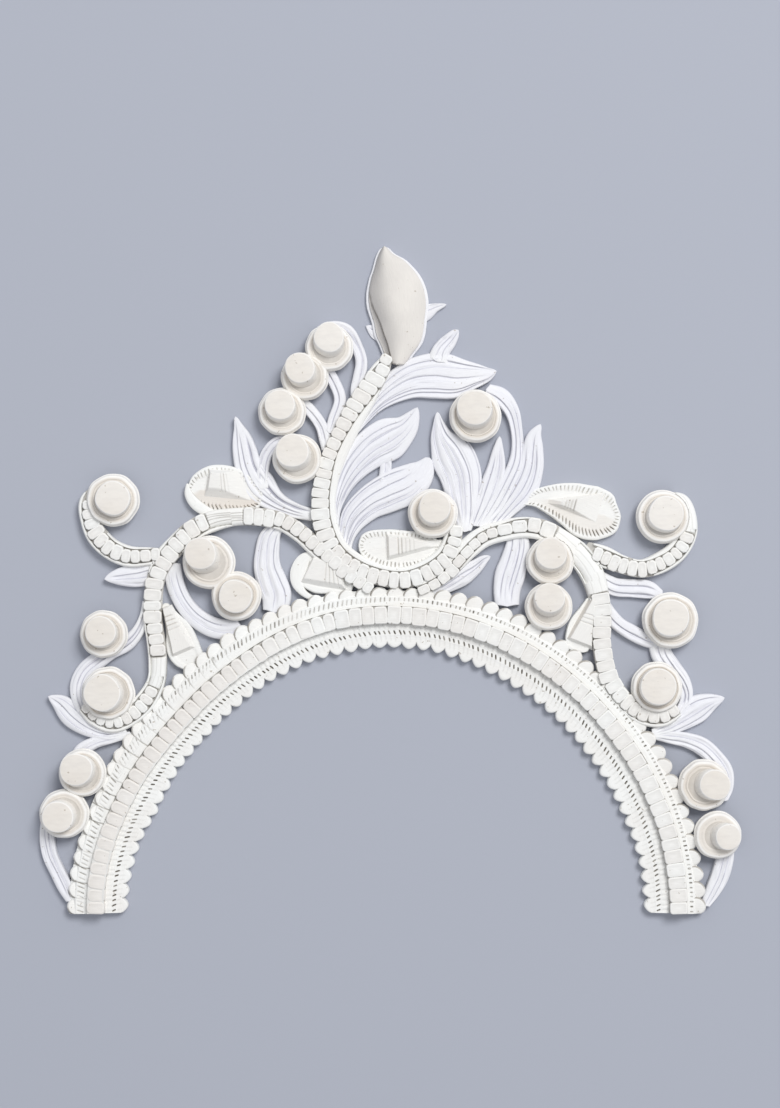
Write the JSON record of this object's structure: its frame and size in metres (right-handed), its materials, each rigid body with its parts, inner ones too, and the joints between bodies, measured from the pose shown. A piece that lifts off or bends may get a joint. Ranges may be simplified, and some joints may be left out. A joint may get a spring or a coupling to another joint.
{
  "type": "shola wedding crown",
  "caption": "Flat openwork tiara of white shola pith: an arched scalloped band carries beaded scrolls, leaves, stepped buttons and a bud at its tip.",
  "frame": {"origin": "under the middle of the crown's box, on the surface that its flat back lies on", "axes": "+X from the left end of the band to its right end as seen from the front, +Y to the tip of the crest, +Z out of the carved front"},
  "size_m": [0.2308, 0.2204, 0.0108],
  "materials": {
    "pith": "matte cream shola pith, carved",
    "painted_pith": "matte cool white shola pith, carved"
  },
  "bodies": {
    "root": {"button_crest_4": "pith", "button_crest_3": "pith", "button_crest_2": "pith", "button_crest_1": "pith", "button_spray": "pith", "button_curl": "pith", "button_volute_left": "pith", "button_sweep_left_2": "pith", "button_sweep_left_1": "pith", "button_sweep_right_2": "pith", "button_sweep_right_1": "pith", "button_volute_right": "pith", "button_side_right_1": "pith", "button_side_right_2": "pith", "button_side_left_1": "pith", "button_side_left_2": "pith", "button_foot_left_2": "pith", "button_foot_left_1": "pith", "button_foot_right_1": "pith", "button_foot_right_2": "pith", "band_backing": "pith", "band_outer_scallops": "pith", "band_rope_1": "pith", "band_rope_2": "pith", "band_rope_3": "pith", "band_rope_4": "pith", "bud_backing": "pith", "bud": "pith", "stem_centre": "pith", "scroll_left": "pith", "scroll_right": "pith", "volute_left": "pith", "volute_right": "pith", "shell_upper_left": "pith", "shell_upper_right": "pith", "shell_curl": "pith", "shell_lower_left": "pith", "shell_side_left": "pith", "shell_side_right": "pith", "leaf_crest": "painted_pith", "leaf_upper": "painted_pith", "spray_right": "painted_pith", "leaf_lower": "painted_pith", "spray_left": "painted_pith", "stalk_crest_1": "painted_pith", "stalk_crest_2": "painted_pith", "stalk_crest_3": "painted_pith", "leaf_down_left": "painted_pith", "leaf_down_right": "painted_pith", "leaf_small": "painted_pith", "leaf_side_left": "painted_pith", "sweep_left": "painted_pith", "leaf_side_right_1": "painted_pith", "leaf_side_right_2": "painted_pith", "link_right": "painted_pith", "link_left": "painted_pith", "leaf_foot_right": "painted_pith", "leaf_foot_left": "painted_pith", "stalk_foot_right": "painted_pith", "stalk_foot_left": "painted_pith"}
  },
  "joints": []
}
